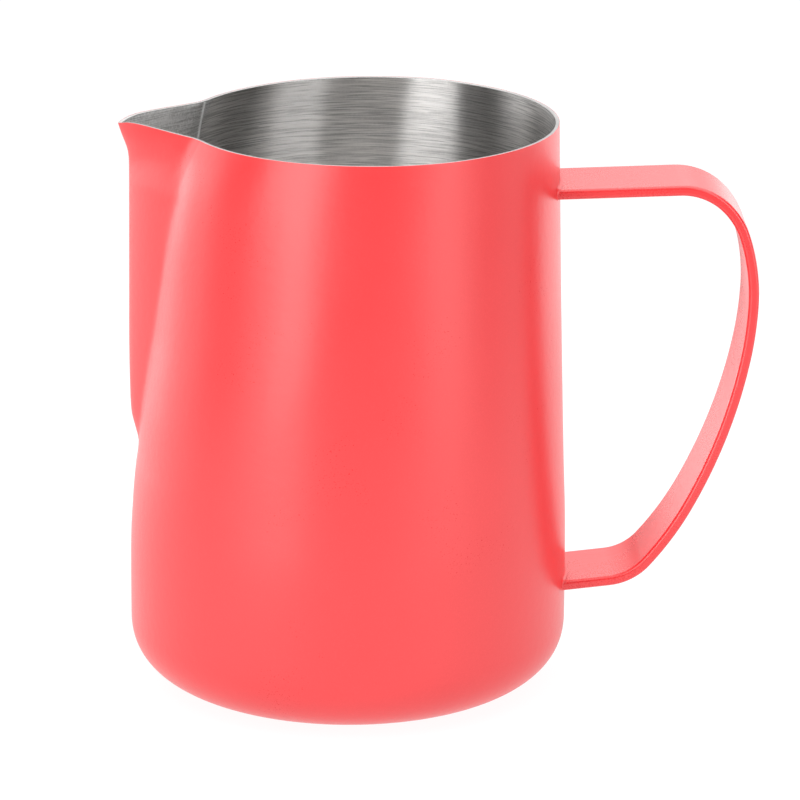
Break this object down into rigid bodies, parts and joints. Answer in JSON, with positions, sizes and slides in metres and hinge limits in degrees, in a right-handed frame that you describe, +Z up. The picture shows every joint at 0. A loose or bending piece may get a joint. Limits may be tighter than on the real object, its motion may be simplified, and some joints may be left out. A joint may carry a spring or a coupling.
{
  "type": "milk frothing pitcher",
  "caption": "Round frothing jug with a rolled-out V pouring lip and a flat bar loop handle, coral powder coat outside, bare brushed steel inside.",
  "frame": {"origin": "centre of the jug's foot, on the surface it stands on", "axes": "+Z up along the jug's axis, +X towards the handle, -X towards the pouring spout, +Y across"},
  "size_m": [0.1208, 0.0838, 0.11],
  "materials": {
    "coated_steel": "matte coral powder coat outside, bare brushed stainless steel inside",
    "coated_bar": "matte coral powder coat"
  },
  "bodies": {
    "root": {"body_shell": "coated_steel", "spout": "coated_steel", "spout_seam": "coated_steel", "handle_strap": "coated_bar", "handle_weld_top": "coated_bar", "handle_weld_low": "coated_bar"}
  },
  "joints": []
}
